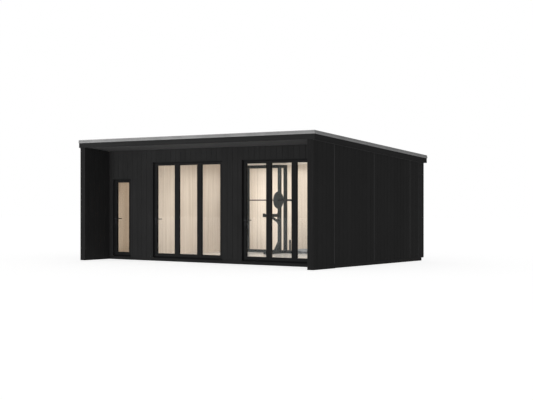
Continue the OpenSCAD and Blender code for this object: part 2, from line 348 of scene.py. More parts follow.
def timber(name, dark, light, grain, rough, specular, shade=0.0, fibre=0.0004, joint=1.0):
    """Boards with fibres along one axis, cloudy variation, each board's own shade, and darker joints."""
    n = Nodes(name)
    fibres = n.noise(grain, 6.0, 0.6)
    clouds = n.noise((1.3, 1.3, 1.3), 3.0)
    colour = n.multiply(n.ramp(fibres, dark, light), n.ramp(clouds, (0.9,) * 3, (1.0,) * 3))
    if shade:
        colour = n.multiply(colour, n.ramp(n.tone(), (1 - shade,) * 3, (1.0,) * 3, 0.0, 1.0))
    if joint < 1.0:
        colour = n.multiply(colour, n.ramp(n.tone(), (joint,) * 3, (1.0,) * 3, 0.0, 0.05))
    n.surface(colour, n.spread(fibres, rough - 0.07, rough + 0.07))
    n.fixed(Specular_IOR_Level=specular)
    n.bump((fibres, fibre, 0.5))
    return n.material


def coated(name, colour, rough, specular=0.4, metallic=0.0, texture=900, depth=0.00005):
    """Coated or bare metal: a fine surface texture with faint dust and rub marks."""
    n = Nodes(name)
    dust = n.noise((2.1, 2.1, 1.3), 5.0, 0.65)
    low = tuple(c * 0.85 for c in colour)
    high = tuple(min(1.0, c * 1.15) for c in colour)
    n.surface(n.ramp(dust, low, high), n.spread(dust, rough - 0.06, rough + 0.08))
    n.fixed(Metallic=metallic, Specular_IOR_Level=specular)
    n.bump((n.noise((texture,) * 3, 2.0), depth, 0.4))
    return n.material


def moulded(name, colour, rough, specular=0.3, grain=260, depth=0.0002):
    """Rubber, membrane or moulded plastic: fine pebbling and cloudy wear."""
    n = Nodes(name)
    wear = n.noise((3.0, 3.0, 3.0), 5.0, 0.6)
    low = tuple(c * 0.8 for c in colour)
    high = tuple(min(1.0, c * 1.2) for c in colour)
    n.surface(n.ramp(wear, low, high), n.spread(wear, rough - 0.08, rough + 0.1))
    n.fixed(Specular_IOR_Level=specular)
    n.bump((n.noise((grain,) * 3, 2.0), depth, 0.5))
    return n.material


def clear_glass(name):
    """Clear sheet glass with a slight float-glass waviness and a trace of dust in its roughness."""
    n = Nodes(name)
    n.link(n.spread(n.noise((1.5, 1.5, 1.5), 5.0, 0.7), 0.0, 0.012), n.shader.inputs["Roughness"])
    n.fixed(Base_Color=(0.985, 0.995, 0.99, 1.0), Transmission_Weight=1.0, IOR=1.2)
    n.bump((n.noise((1.2, 1.2, 0.7), 1.0), 0.0003, 0.12))
    return n.material


UP, ALONG_X, ALONG_Y = (60, 60, 1.6), (1.6, 60, 60), (60, 1.6, 60)
BLACK_DARK, BLACK_LIGHT = (0.0125, 0.0125, 0.0126), (0.0178, 0.0178, 0.0179)
BLACK_BOARDS = timber("black_boards", BLACK_DARK, BLACK_LIGHT, UP, 0.75, 0.05, shade=0.12)
# Wing front-end boards: the black board colours scaled to 0.74, painted shade so the lit wing ends read as
# dark as the wall under the canopy.
END_SHADE_DARK, END_SHADE_LIGHT = (tuple(c * 0.74 for c in colour) for colour in (BLACK_DARK, BLACK_LIGHT))
END_BOARDS_PAINTED_SHADE = timber("end_boards_painted_shade", END_SHADE_DARK, END_SHADE_LIGHT, UP, 0.75, 0.05)
# Soffit boards: far lighter than the black boards, painted light standing in for the bright floor's bounce
# onto the underside.
SOFFIT_BOARDS_PAINTED_LIGHT = timber("soffit_boards", (0.052,) * 3, (0.064,) * 3, ALONG_X, 0.7, 0.08, shade=0.1)
FASCIA_X = timber("fascia_boards_x", BLACK_DARK, BLACK_LIGHT, ALONG_X, 0.72, 0.05)
FASCIA_Y = timber("fascia_boards_y", BLACK_DARK, BLACK_LIGHT, ALONG_Y, 0.72, 0.05)
BIRCH = timber("birch_panels", (0.66, 0.565, 0.475), (0.82, 0.73, 0.645), (16, 16, 0.4), 0.55, 0.3,
               shade=0.05, fibre=0.00012, joint=0.2)
CEILING_WOOD = timber("ceiling_boards", (0.80, 0.765, 0.72), (0.87, 0.84, 0.80), (0.6, 22, 22), 0.55, 0.3,
                      shade=0.05, fibre=0.00012, joint=0.4)
FLOOR_WOOD = timber("floor_planks", (0.68, 0.655, 0.63), (0.80, 0.78, 0.76), (0.8, 30, 30), 0.16, 0.5,
                    shade=0.10, fibre=0.00004, joint=0.4)
BASE_TIMBER = timber("base_timber", (0.006,) * 3, (0.012,) * 3, ALONG_X, 0.85, 0.2, fibre=0.0008)
CORE_TIMBER = timber("core_timber", (0.42, 0.33, 0.23), (0.56, 0.45, 0.33), (20, 20, 2), 0.7, 0.3)
GREY_TRIM = coated("grey_trim", (0.175, 0.175, 0.175), 0.5, 0.3)
FRAME_COAT = coated("frame_coat", (0.0088, 0.0089, 0.0091), 0.45, 0.07)
FITTING_COAT = coated("fitting_coat", (0.014, 0.014, 0.015), 0.38, 0.15)
STRIP_COAT = coated("strip_coat", (0.048, 0.048, 0.0485), 0.6, 0.05)
EAVE_COAT = coated("eave_coat", (0.024, 0.024, 0.0242), 0.6, 0.05)
SILL_COAT = coated("sill_coat", (0.008, 0.008, 0.0083), 0.6, 0.06)
RACK_COAT = coated("rack_coat", (0.021, 0.025, 0.026), 0.6, 0.15)
STEEL = coated("bar_steel", (0.022, 0.023, 0.025), 0.45, 0.1)
KNURLED = coated("knurled_steel", (0.018, 0.019, 0.020), 0.5, 0.1, texture=1500, depth=0.0004)
SPACER_METAL = coated("spacer_metal", (0.05, 0.05, 0.052), 0.5, metallic=0.6)
MEMBRANE = moulded("roof_membrane", (0.075, 0.078, 0.082), 0.75, grain=90, depth=0.0006)
# Black rubber for the glazing beads and seals; the frame lip also uses it as painted shade for the gap
# between frame and leaf.
GASKET_AND_GAP_SHADE = moulded("gasket_rubber_and_gap_shade", (0.004, 0.004, 0.004), 0.85, 0.04)
PLATE_RUBBER = moulded("plate_rubber", (0.022, 0.029, 0.033), 0.6)
# Near-black discs in the rack's holes: painted shade for the inside of the tubes.
HOLE_PAINTED_SHADE = moulded("hole_painted_shade", (0.004, 0.004, 0.004), 0.9, 0.02)
STEP_TOP = moulded("step_top_plastic", (0.27, 0.285, 0.305), 0.55)
STEP_BASE = moulded("step_base_plastic", (0.14, 0.15, 0.165), 0.6)
CLEAR_GLASS = clear_glass("clear_glass")


# ---- Boards, sheets and panels ----


def even_edges(low, high, pitch):
    """Edges of boards of equal width that fill a span."""
    count = max(1, round((high - low) / pitch))
    return [low + (high - low) * i / count for i in range(count + 1)]


def spans(edges):
    """Each item of a list with the next one."""
    return list(zip(edges, edges[1:]))


def pieces_of(low, high, holes):
    """The parts of one board, each with the opening under which it hangs, if any."""
    cuts = sorted({low, high, *(e for hole in holes for e in hole[:2] if low < e < high)})
    for start, end in spans(cuts):
        middle = (start + end) / 2
        yield start, end, next((hole for hole in holes if hole[0] < middle < hole[1]), None)


def board_section(start, end, edges, gap, thick):
    """A board's section, with a gap and a small chamfer along each edge that meets another board."""
    chamfer = min(0.003, thick / 3)
    section = [(start, 0.0), (start, thick), (end, thick), (end, 0.0)]
    if edges[0] is not None and start == edges[0]:
        section[:2] = [(start + gap / 2, 0.0), (start + gap / 2, thick - chamfer),
                       (start + gap / 2 + chamfer, thick)]
    if edges[1] is not None and end == edges[1]:
        section[-2:] = [(end - gap / 2 - chamfer, thick), (end - gap / 2, thick - chamfer),
                        (end - gap / 2, 0.0)]
    return section


def add_boards(bm, edges, place, z_low, z_high, holes=(), seed=1, gap=BOARD_GAP, thick=BOARD_T):
    """Upright boards between successive edges, cut to a sloped top and round openings."""
    shades = random.Random(seed)
    for low, high in spans(edges):
        tone = shades.uniform(0.1, 1.0)
        for start, end, hole in pieces_of(low, high, holes):
            if end - start > gap + 0.006:
                joints = (low if low > edges[0] else None, high if high < edges[-1] else None)
                section = board_section(start, end, joints, gap, thick)
                paint_tone(bm, add_prism(bm, section, place, hole[2] if hole else z_low, z_high), tone)


def add_backing(bm, span, place, z_low, z_high, holes, thick):
    """The plain sheet behind a run of boards, with the same openings."""
    for start, end, hole in pieces_of(span[0], span[1], holes):
        outline = [(start, 0.0), (start, thick), (end, thick), (end, 0.0)]
        paint_tone(bm, add_prism(bm, outline, place, hole[2] if hole else z_low, z_high), 0.0)


def openings():
    """The front wall's openings as (left, right, top)."""
    return [(low.x, high.x, high.z) for low, high in FRAMES]


def boarded_sheet(name, node, material, slot, place, edges, z_low, z_high, holes=(), seed=1,
                  gap=BOARD_GAP, thick=BOARD_T, total=0.020):
    """Boards on a backing that stand for one CAD sheet."""
    bm = bmesh.new()
    back = total - thick
    add_backing(bm, (edges[0], edges[-1]), place, z_low, z_high, holes, back)
    add_boards(bm, edges, lambda u, v, z: place(u, v + back, z), z_low, z_high, holes, seed, gap, thick)
    return make_piece(name, bm, material, [node])


def clad_front():
    """Boards on the front wall, with narrower gaps, cut round the three openings."""
    low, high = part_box("front_cladding")
    boarded_sheet("front_boards", "front_cladding", BLACK_BOARDS, "black_cladding",
                  lambda u, v, z: (u, high.y - v, z), even_edges(low.x, high.x, BOARD_PITCH),
                  low.z, high.z - 0.002, openings(), seed=11, gap=FRONT_GAP)


def strip_places():
    """Depths of the joint strips on a side wall, from the wing's joint to the corner post."""
    low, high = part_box("right_cladding")
    start = low.y - WING_SEAM
    return [start, *(start + STRIP_SPACING * i for i in (1, 2)), *(high.y - seam for seam in POST_SEAMS)]


def clad_sides():
    """Boards on the side walls, in runs between the joint strips, with a corner post at the rear."""
    for node, side, seed in (("left_cladding", -1, 12), ("right_cladding", 1, 13)):
        low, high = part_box(node)
        inner = low.x if side > 0 else high.x
        stops = [low.y, *strip_places()[1:]]
        edges = [stops[0]]
        for start, end in spans(stops):
            edges += even_edges(start, end, BOARD_PITCH)[1:]
        boarded_sheet(node + "_boards", node, BLACK_BOARDS, "black_cladding",
                      lambda u, v, z: (inner + side * v, u, z), edges + [high.y],
                      low.z, under_roof(EDGE_HEIGHT - 0.010), seed=seed)


def joint_strips():
    """Slim upright cover strips over the side walls' panel joints and beside the rear corner posts."""
    bm = bmesh.new()
    for node, side in (("left_cladding", -1), ("right_cladding", 1)):
        low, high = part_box(node)
        face = high.x if side > 0 else low.x
        wide, out = STRIP_W / 2, face + side * 0.004
        for y in strip_places():
            outline = [(face, y - wide), (out, y - wide * 0.6), (out, y + wide * 0.6), (face, y + wide)]
            add_prism(bm, outline, lambda u, v, z: (u, v, z), low.z + 0.002,
                      lambda u, v: roof_z(v, EDGE_HEIGHT + 0.002))
    make_piece("joint_strips", bm, STRIP_COAT)


def eave_strips():
    """A slim lighter strip along the top of each side wall, right under the fascia."""
    bm = bmesh.new()
    for face, way in ((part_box("left_cladding")[0].x, -1), (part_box("right_cladding")[1].x, 1)):
        section = [(0.0, 0.001), (0.010, 0.001), (0.010, 0.016), (0.007, 0.020), (0.0, 0.020)]
        add_prism(bm, section, lambda u, v, y: (face + way * u, y, roof_z(y, EDGE_HEIGHT + v)),
                  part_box("right_wing_wall")[0].y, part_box("right_cladding")[1].y)
    make_piece("eave_strips", bm, EAVE_COAT)


def base_vents():
    """A dark plain strip that closes the foot of the side and back cladding."""
    bm = bmesh.new()
    low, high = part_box("left_cladding")[0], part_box("right_cladding")[1]
    z0, z1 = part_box("base_frame")[1].z + 0.001, low.z - 0.0005
    inset, thick = 0.0195, 0.014
    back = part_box("back_cladding")[0].y
    for x in (low.x + inset - thick, high.x - inset):
        add_box(bm, (x, low.y + 0.001, z0), (x + thick, back, z1))
    back += 0.0005
    add_box(bm, (low.x + inset - thick, back, z0), (high.x - inset + thick, back + thick, z1))
    make_piece("base_vents", bm, SILL_COAT)


def clad_back():
    """Boards on the back wall."""
    low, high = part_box("back_cladding")
    boarded_sheet("back_boards", "back_cladding", BLACK_BOARDS, "black_cladding",
                  lambda u, v, z: (u, low.y + v, z), even_edges(low.x, high.x, BOARD_PITCH),
                  low.z, high.z - 0.003, seed=14)


def clad_wing(side):
    """A wing wall: a core with boards on its outer, inner and front faces; the front-face boards get a
    darker copy of the board colour, painted shade.
    """
    node = "right_wing_wall" if side > 0 else "left_wing_wall"
    low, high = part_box(node)
    core = (low.x + BOARD_T, high.x - BOARD_T)
    top = under_roof(EDGE_HEIGHT + 0.001)
    bm = bmesh.new()
    outline = [(low.y + BOARD_T, core[0]), (low.y + BOARD_T, core[1]), (high.y, core[1]), (high.y, core[0])]
    paint_tone(bm, add_prism(bm, outline, lambda u, v, z: (v, u, z), low.z, top), 0.0)
    for face, way in ((core[1], 1), (core[0], -1)):
        add_boards(bm, even_edges(low.y, high.y, BOARD_PITCH), lambda u, v, z: (face + way * v, u, z),
                   low.z, top, seed=20 + way)
    make_piece(node + "_boards", bm, BLACK_BOARDS, [node])
    # Front-end boards in a darker copy of the board colour: painted shade.
    bm = bmesh.new()
    add_boards(bm, [core[0] + 0.001, core[1] - 0.001], lambda u, v, z: (u, low.y + BOARD_T - v, z), low.z,
               roof_z(low.y, EDGE_HEIGHT + 0.003), seed=22)
    make_piece(node + "_end", bm, END_BOARDS_PAINTED_SHADE)


def line_rooms():
    """Wood panels on the back, side and front walls, each on a thin backing."""
    style = {"gap": PANEL_GAP, "thick": PANEL_T, "total": LINING_T}
    low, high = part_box("back_lining")
    joints = [ROOM_HIGH.x - LINING_T - PANEL_W * i for i in (4, 3, 2, 1)]
    edges = [low.x, PART_LOW.x, *joints, high.x]
    boarded_sheet("back_panels", "back_lining", BIRCH, "wood_lining", lambda u, v, z: (u, high.y - v, z),
                  edges, low.z, high.z - 0.002, seed=31, **style)
    low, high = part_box("front_lining")
    boarded_sheet("front_panels", "front_lining", BIRCH, "wood_lining", lambda u, v, z: (u, low.y + v, z),
                  even_edges(low.x, high.x, PANEL_W), low.z, high.z - 0.006, openings(), seed=32, **style)
    bm = bmesh.new()
    top = under_roof(EDGE_HEIGHT - 0.004)
    edges = even_edges(ROOM_LOW.y, ROOM_HIGH.y, PANEL_W)
    for wall, way in ((ROOM_LOW.x, 1), (ROOM_HIGH.x, -1)):
        add_backing(bm, (edges[0], edges[-1]), lambda u, v, z: (wall + way * v, u, z),
                    ROOM_LOW.z, top, (), PANEL_BACK_T)
        add_boards(bm, edges, lambda u, v, z: (wall + way * (v + PANEL_BACK_T), u, z),
                   ROOM_LOW.z, top, (), 33 + way, PANEL_GAP, PANEL_T)
    make_piece("side_panels", bm, BIRCH, ["side_linings"])


def line_partition():
    """The partition: a core with wood panels on both faces."""
    bm = bmesh.new()
    top = under_roof(EDGE_HEIGHT - 0.004)
    thick = 0.009
    core = (PART_LOW.x + thick, PART_HIGH.x - thick)
    outline = [(PART_LOW.y, core[0]), (PART_LOW.y, core[1]), (PART_HIGH.y, core[1]), (PART_HIGH.y, core[0])]
    paint_tone(bm, add_prism(bm, outline, lambda u, v, z: (v, u, z), PART_LOW.z, top), 0.0)
    for face, way in ((core[0], -1), (core[1], 1)):
        add_boards(bm, even_edges(PART_LOW.y, PART_HIGH.y, PANEL_W), lambda u, v, z: (face + way * v, u, z),
                   PART_LOW.z, top, (), 36 + way, PANEL_GAP, thick)
    make_piece("partition_panels", bm, BIRCH, ["partition_wall"])


def line_ceiling():
    """Ceiling boards that run across the rooms, with fine joints."""
    low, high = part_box("ceiling_lining")
    bm = bmesh.new()
    shades = random.Random(41)
    drop = EDGE_HEIGHT - 0.016
    outline = [(low.y, drop), (high.y, drop), (high.y, drop + 0.004), (low.y, drop + 0.004)]
    add_slab = lambda section: add_prism(bm, section, lambda u, v, x: (x, u, roof_z(u, v)), low.x, high.x)
    paint_tone(bm, add_slab(outline), 0.0)
    for start, end in spans(even_edges(low.y, high.y, CEILING_W)):
        a, b = start + 0.0015, end - 0.0015
        section = [(a, drop + 0.004), (b, drop + 0.004), (b, drop + 0.010), (b - 0.002, drop + 0.012),
                   (a + 0.002, drop + 0.012), (a, drop + 0.010)]
        paint_tone(bm, add_slab(section), shades.uniform(0.1, 1.0))
    make_piece("ceiling_panels", bm, CEILING_WOOD, ["ceiling_lining"])


def lay_floor():
    """Floor planks along the building with staggered ends, on a deck that reaches into the doorways."""
    bm = bmesh.new()
    low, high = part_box("floor_deck")
    shades = random.Random(42)
    front, deck_top, gap = ROOM_FRONT - 0.012, high.z - 0.008, 0.0006
    paint_tone(bm, add_box(bm, (low.x, front, low.z), (high.x, high.y, deck_top)), 0.0)
    for door_low, door_high in FRAMES:
        paint_tone(bm, add_box(bm, (door_low.x, low.y, low.z), (door_high.x, front, high.z - 0.0005)), 0.5)
    for room in ((low.x, PART_LOW.x), (PART_LOW.x, high.x)):
        for start, end in spans(even_edges(front, high.y, PLANK_W)):
            x = room[0] - shades.random() * PLANK_STAGGER
            while x < room[1]:
                left, right = max(x, room[0]) + gap, min(x + PLANK_L, room[1]) - gap
                if right - left > 0.01:
                    corners = ((left, start + gap, deck_top), (right, end - gap, high.z))
                    paint_tone(bm, add_box(bm, *corners), shades.uniform(0.1, 1.0))
                x += PLANK_L
    make_piece("floor_planks", bm, FLOOR_WOOD, ["floor_deck"], bevel=0.0006)


# ---- Roof edge and canopy ----


def edge_corner(index, out):
    """A plan corner of a ring round the roof, set out from the deck: front left first, turning right."""
    x = DECK_LOW.x - out if index % 4 in (0, 3) else DECK_HIGH.x + out
    y = DECK_LOW.y - out if index % 4 in (0, 1) else DECK_HIGH.y + out
    return Vector((x, y))


def add_edge_run(bm, profile, side, lengths=1, gap=0.002):
    """One side of the roof edge with mitred ends, in equal lengths with a fine joint between them."""
    for part in range(lengths):
        loops = []
        for t, shift in ((part / lengths, gap / 2), ((part + 1) / lengths, -gap / 2)):
            loop = []
            for out, drop in profile:
                start, end = edge_corner(side, out), edge_corner(side + 1, out)
                at = start.lerp(end, t)
                if 0 < t < 1:
                    at += (end - start).normalized() * shift
                loop.append(bm.verts.new((at.x, at.y, roof_z(at.y, drop))))
            loops.append(loop)
        add_loft(bm, loops)


def roof_trim():
    """The folded grey metal cap: a flat upper face, a step, and a lower lip that leans in to a drip."""
    out = EDGE_OUT
    foot = TRIM_HEIGHT - 0.0005
    profile = [(0.0, 0.0), (out - 0.012, 0.0), (out - 0.007, 0.002), (out - 0.006, 0.036),
               (out - 0.001, 0.041), (out, 0.045), (out - 0.004, foot - 0.003), (out - 0.010, foot),
               (0.0, foot)]
    bm = bmesh.new()
    for side, lengths in ((0, 3), (1, 2), (2, 3), (3, 2)):
        add_edge_run(bm, profile, side, lengths)
        add_edge_run(bm, [(0.0, 0.004), (out - 0.009, 0.004), (out - 0.009, 0.072), (0.0, 0.072)], side)
    make_piece("roof_trim", bm, GREY_TRIM, ["front_trim", "side_trims", "back_trim"],
               bevel=0.0012)


def roof_fascias():
    """Black boards under the metal cap, butt-jointed, with a chamfered lower edge."""
    out, top = FASCIA_OUT, TRIM_HEIGHT + 0.0005
    profile = [(0.0, top), (out, top), (out, EDGE_HEIGHT - 0.003), (out - 0.003, EDGE_HEIGHT),
               (0.0, EDGE_HEIGHT)]
    for name, sides, lengths, material, nodes in (
            ("fascia_front_back", (0, 2), 2, FASCIA_X, ["front_fascia", "back_fascia"]),
            ("fascia_sides", (1, 3), 1, FASCIA_Y, ["side_fascias"])):
        bm = bmesh.new()
        for side in sides:
            add_edge_run(bm, profile, side, lengths)
        make_piece(name, bm, material, nodes)


def canopy_soffit():
    """Soffit boards that run along the canopy, in a colour far lighter than the black boards: painted light
    for the bounce from the bright floor.
    """
    low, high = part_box("canopy_soffit")
    bm = bmesh.new()
    shades = random.Random(51)
    thin, thick = EDGE_HEIGHT - 0.016, EDGE_HEIGHT - 0.0045
    place = lambda u, v, x: (x, u, roof_z(u, v))
    for start, end in spans(even_edges(low.y, high.y, SOFFIT_W)):
        a, b = start + 0.002, end - 0.002
        section = [(a, thin), (b, thin), (b, thick - 0.003), (b - 0.003, thick), (a + 0.003, thick),
                   (a, thick - 0.003)]
        paint_tone(bm, add_prism(bm, section, place, low.x + 0.001, high.x - 0.001), shades.random())
    make_piece("soffit_boards", bm, SOFFIT_BOARDS_PAINTED_LIGHT, ["canopy_soffit"])


def roof_membrane():
    """The roof sheet in lengths from front to back, lapped at raised seams."""
    low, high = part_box("roof_sheet")
    bm = bmesh.new()
    drop = roof_z(low.y) - high.z
    place = lambda u, v, y: (u, y, roof_z(y, drop + 0.012 - v))
    edges = even_edges(low.x, high.x, SHEET_W)
    add_prism(bm, [(low.x, 0.0), (high.x, 0.0), (high.x, 0.0085), (low.x, 0.0085)], place, low.y, high.y)
    for x in edges[1:-1]:
        section = [(x - 0.045, 0.008), (x - 0.043, 0.011), (x + 0.040, 0.012), (x + 0.046, 0.008)]
        add_prism(bm, section, place, low.y, high.y)
    make_piece("membrane_sheets", bm, MEMBRANE, ["roof_sheet"])


# ---- Doors and glazing ----


def door_reveals():
    """Black boards that line each opening in front of its frame, with a folded metal sill below."""
    bm, sills = bmesh.new(), bmesh.new()
    front, back, thick = WALL_Y + 0.001, FRAMES[0][0].y - 0.0005, 0.004
    for low, high in FRAMES:
        for x0, x1 in ((low.x, low.x + thick), (high.x - thick, high.x)):
            add_box(bm, (x0, front, low.z + 0.020), (x1, back, high.z))
        add_box(bm, (low.x + thick, front, high.z - thick), (high.x - thick, back, high.z))
        section = [(front - 0.012, low.z - 0.004), (front - 0.012, low.z + 0.006), (back, low.z + 0.018),
                   (back, low.z + 0.001), (front, low.z - 0.001)]
        add_prism(sills, section, lambda u, v, x: (x, u, v), low.x + 0.001, high.x - 0.001)
    make_piece("reveal_boards", bm, BLACK_BOARDS)
    make_piece("door_sills", sills, SILL_COAT, bevel=0.001)


def glaze(name, node, body):
    """Double glazing in a leaf's openings: two sheets on a spacer, with gaskets and beads on both faces."""
    glass, spacers, beads = bmesh.new(), bmesh.new(), bmesh.new()
    for low, high in solids(node):
        for y in (low.y, high.y - SHEET_T):
            add_box(glass, (low.x, y, low.z), (high.x, y + SHEET_T, high.z))
        a, b = low.y + SHEET_T + 0.0002, high.y - SHEET_T - 0.0002
        add_frame(spacers, low, high, [(0.0, a), (SPACER_W, a), (SPACER_W, b), (0.0, b)])
        y = low.y - 0.0002
        add_frame(beads, low, high, [(0.0, y), (BEAD_OUT, y), (BEAD_OUT - 0.002, y - 0.003),
                                     (0.0, y - 0.009)])
        y = high.y + 0.0002
        add_frame(beads, low, high, [(0.0, y), (BEAD_IN, y), (BEAD_IN - 0.003, y + 0.004),
                                     (0.003, y + 0.0105), (0.0, y + 0.0105)])
    make_piece(name + "_panes", glass, CLEAR_GLASS, [node], body)
    make_piece(name + "_spacers", spacers, SPACER_METAL, (), body)
    make_piece(name + "_beads", beads, GASKET_AND_GAP_SHADE, (), body)


def frame_seals():
    """Rubber bulb seals on each frame's stop, a black lip on each frame's face that is partly a real seal
    and partly painted shade for the gap between frame and leaf, and seals in the gaps between the folding
    leaves.
    """
    bm = bmesh.new()
    for low, high in FRAMES:
        stop = high.y - 0.016
        ring = [(0.032, stop), (0.032, stop - 0.003), (0.035, stop - 0.005), (0.039, stop - 0.005),
                (0.042, stop)]
        add_frame(bm, low, high, ring)
        # A black rubber lip about 11 mm wide on the frame's face: a real seal, widened as painted shade for
        # the dark gap between frame and leaf.
        face = low.y - 0.0006
        lip = [(0.022, face), (0.0335, face), (0.0335, face + 0.004), (0.0305, face + 0.004),
               (0.0305, low.y + 0.0001), (0.022, low.y + 0.0001)]
        add_frame(bm, low, high, lip)
    for node in ("middle_set_leaves", "right_set_leaves"):
        for left, right in spans(solids(node)):
            y = left[0].y + 0.006
            add_box(bm, (left[1].x, y, left[0].z), (right[0].x, y + 0.004, left[1].z))
    make_piece("door_seals_and_painted_gap_shade", bm, GASKET_AND_GAP_SHADE)


def folding_hinges():
    """Slim butt hinges on the room side, between the folding leaves."""
    bm = bmesh.new()
    for node in ("middle_set_leaves", "right_set_leaves"):
        for left, right in spans(solids(node)):
            x, y = (left[1].x + right[0].x) / 2, left[1].y
            for z in (left[0].z + 0.22, (left[0].z + left[1].z) / 2, left[1].z - 0.22):
                add_rod(bm, (x, y + 0.006, z - 0.045), (x, y + 0.006, z + 0.045), 0.006)
                add_box(bm, (x - 0.030, y, z - 0.042), (x + 0.030, y + 0.003, z + 0.042))
    make_piece("folding_hinges", bm, FITTING_COAT, bevel=0.0006)


def lock_cylinders():
    """A round key cylinder with its slot, under each lever on the outside."""
    plates = solids("folding_set_handles")
    places = (("store_lock", "store_door_leaf", DOOR, solids("store_door_handle")[0]),
              ("middle_lock", "middle_set_leaves", HOUSE, plates[0]),
              ("right_lock", "right_set_leaves", HOUSE, plates[-1]))
    for name, leaf, body, plate in places:
        x, face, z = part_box(leaf)[0].x + 0.035, FRAMES[0][0].y - 0.008, plate[0].z + 0.045
        bm = bmesh.new()
        add_lathe(bm, (x, face + 0.001, z), (x, face - 1, z),
                  [(0.0, 0.0095), (0.003, 0.0095), (0.004, 0.0085)], 24)
        add_box(bm, (x - 0.001, face - 0.0035, z - 0.005), (x + 0.001, face - 0.0028, z + 0.005))
        make_piece(name, bm, STEEL, (), body, smooth=True)


# ---- Gym kit ----


def rack_places():
    """The rack's frames' x ranges, and the y centres of its front and rear posts."""
    boxes = solids("rack_side_frames")
    half = (boxes[0][1].x - boxes[0][0].x) / 2
    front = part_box("rack_crossbars")[0].y + half
    return [(low.x, high.x) for low, high in boxes], front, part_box("rack_side_frames")[1].y - half, half


def rack_holes_with_painted_shade():
    """Rows of punched holes in the posts, each with a rim, where no fitting covers them; each hole is a
    near-black disc just under the surface, painted shade for the tube's shaded inside.
    """
    frames, front, rear, half = rack_places()
    low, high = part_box("rack_side_frames")
    arm_low, arm_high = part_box("rack_arms")
    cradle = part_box("barbell")
    rims, holes = bmesh.new(), bmesh.new()
    z = low.z + 0.20
    while z < high.z - 0.12:
        spots = []
        for x0, x1 in frames:
            middle = (x0 + x1) / 2
            spots += [((x0, y, z), (-1, 0, 0)) for y in (front, rear)]
            spots += [((x1, y, z), (1, 0, 0)) for y in (front, rear)]
            covered = arm_low.z - 0.02 < z < arm_high.z + 0.02 or cradle[0].z - 0.02 < z < cradle[1].z
            if not covered and z > low.z + 0.4:
                spots.append(((middle, front - half, z), (0, -1, 0)))
        for spot, way in spots:
            spot, way = Vector(spot), Vector(way)
            add_lathe(rims, spot - way * 0.001, spot + way,
                      [(0.0, HOLE_R + 0.002), (0.0014, HOLE_R + 0.0015)], 16)
            # A near-black disc for the hole: painted shade.
            add_lathe(holes, spot, spot + way, [(0.0, HOLE_R), (0.0006, HOLE_R)], 16)
        z += HOLE_PITCH
    make_piece("rack_hole_rims", rims, RACK_COAT)
    make_piece("rack_holes_with_painted_shade", holes, HOLE_PAINTED_SHADE)


def rack_fixings():
    """Hex bolts at the rack's joints, end caps on its feet and wear strips on its arms."""
    frames, front, rear, half = rack_places()
    low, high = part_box("rack_side_frames")
    bolts, caps = bmesh.new(), bmesh.new()
    for (x0, x1), way in zip(frames, (-1, 1)):
        outer = x0 if way < 0 else x1
        for y in (front, rear):
            for z in (high.z - half, low.z + half):
                for dz in (-0.018, 0.018):
                    spot = (outer, y, z + dz)
                    add_lathe(bolts, spot, (outer + way, y, z + dz), [(0.0, 0.012), (0.002, 0.012)], 20)
                    add_lathe(bolts, spot, (outer + way, y, z + dz), [(0.0, 0.0095), (0.009, 0.0095)], 6)
        add_box(caps, (x0 + 0.002, low.y - 0.003, low.z + 0.002),
                (x1 - 0.002, low.y + 0.0002, low.z + 2 * half - 0.002))
    for arm_low, arm_high in solids("rack_arms"):
        x = (arm_low.x + arm_high.x) / 2
        top = arm_high.z - ARM_PLATE_UP + 0.0005
        add_box(caps, (x - 0.026, arm_low.y + 0.026, top), (x + 0.026, front - half - 0.012, top + 0.005))
    make_piece("rack_bolts", bolts, STEEL, bevel=0.0006)
    make_piece("rack_caps", caps, PLATE_RUBBER, bevel=0.001)


def load_barbell():
    """The bar with its knurled grips, the collared sleeves, and the cradles that hold it."""
    low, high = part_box("barbell")
    frames, front, _, half = rack_places()
    z, y = high.z - SLEEVE_R, low.y + SLEEVE_R
    middle = (low.x + high.x) / 2
    shaft, grips, sleeves, cradles = bmesh.new(), bmesh.new(), bmesh.new(), bmesh.new()
    reach = frames[1][1] - middle + 0.0015
    add_rod(shaft, (middle - reach, y, z), (middle + reach, y, z), SHAFT_R, 32)
    for a, b in ((-0.60, -0.22), (-0.06, 0.06), (0.22, 0.60)):
        add_rod(grips, (middle + a, y, z), (middle + b, y, z), GRIP_R, 32)
    end = (high.x - low.x) / 2
    for way in (-1, 1):
        start = (middle + way * reach, y, z)
        profile = [(0.0, HUB_R), (0.006, HUB_R), (0.008, SLEEVE_R), (end - reach - 0.012, SLEEVE_R),
                   (end - reach - 0.004, 0.0235), (end - reach - 0.003, 0.016), (end - reach, 0.014)]
        add_lathe(sleeves, start, (start[0] + way, y, z), profile, 40)
    for x0, x1 in frames:
        x = (x0 + x1) / 2
        outline = [(y - 0.030, z - 0.012), (y - 0.022, z - 0.012), (y - 0.018, z - 0.030),
                   (y + 0.020, z - 0.030), (y + 0.024, z + 0.020), (front - half, z + 0.020),
                   (front - half, z - 0.080), (y + 0.010, z - 0.055), (y - 0.030, z - 0.050)]
        add_prism(cradles, outline, lambda u, v, w: (w, u, v), x - 0.030, x + 0.030)
    make_piece("bar_shaft", shaft, STEEL, ["barbell"], smooth=True)
    make_piece("bar_grips", grips, KNURLED, smooth=True)
    make_piece("bar_sleeves", sleeves, STEEL, smooth=True)
    make_piece("bar_cradles", cradles, RACK_COAT, bevel=0.0015)


